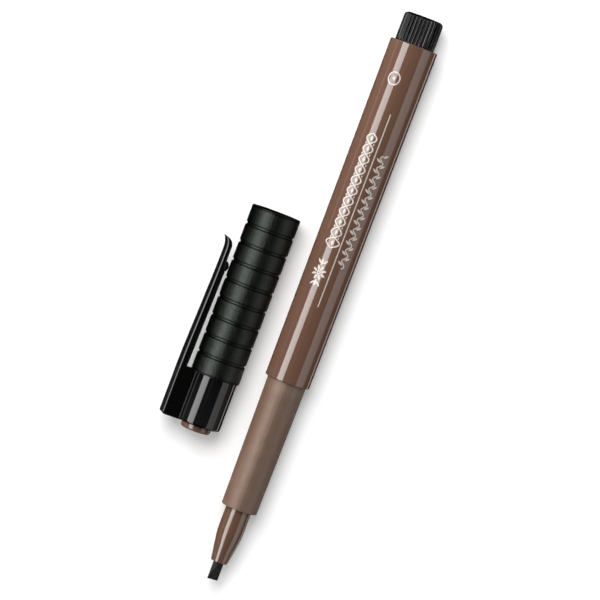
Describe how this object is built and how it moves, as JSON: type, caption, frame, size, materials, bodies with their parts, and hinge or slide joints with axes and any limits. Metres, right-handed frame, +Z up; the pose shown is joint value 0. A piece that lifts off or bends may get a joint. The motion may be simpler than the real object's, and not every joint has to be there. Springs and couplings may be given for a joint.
{
  "type": "calligraphy marker",
  "caption": "Calligraphy marker with a broad chisel felt nib, tapered barrel and ribbed end plug, uncapped beside its ringed clip cap.",
  "frame": {"origin": "middle of the whole footprint, pen and cap together, on the surface they lie on", "axes": "+Y along the pen from the nib to the end plug, +X from the cap towards the pen, +Z up"},
  "size_m": [0.0316, 0.1412, 0.0119],
  "materials": {
    "barrel_gloss": "glossy dark sepia-brown moulded plastic",
    "grip_matte": "fine-grained matte sepia-brown plastic",
    "nose_gloss": "glossy dark sepia-brown plastic",
    "nib_felt": "ink-soaked black felt",
    "store_fibre": "bundled polyester fibre, ink-soaked",
    "film_clear": "thin clear plastic film",
    "plug_black": "black plastic with lengthwise ribs",
    "cap_matte": "fine matte black plastic",
    "cap_gloss": "polished black plastic",
    "liner_plastic": "soft black polyethylene",
    "button_gloss": "glossy dark sepia-brown plastic",
    "clip_gloss": "polished black plastic"
  },
  "bodies": {
    "pen": {"barrel": "barrel_gloss", "grip_section": "grip_matte", "nose": "nose_gloss", "nib": "nib_felt", "ink_store": "store_fibre", "store_film": "film_clear", "end_plug": "plug_black"},
    "cap": {"cap_tube": "cap_matte", "cap_end": "cap_gloss", "cap_liner": "liner_plastic", "colour_button": "button_gloss"},
    "clip": {"clip": "clip_gloss"}
  },
  "joints": [
    {"name": "cap_slide", "type": "slide", "parent": "pen", "child": "cap", "axis": [0, 1, 0], "range_m": [-0.0864, 0]},
    {"name": "clip_flex", "type": "hinge", "parent": "cap", "child": "clip", "pos_m": [-0.01438, -0.02532, 0.00815], "axis": [0.2588, 0, 0.9659], "range_deg": [0, 6], "stiffness_Nm_per_rad": 0.2}
  ]
}
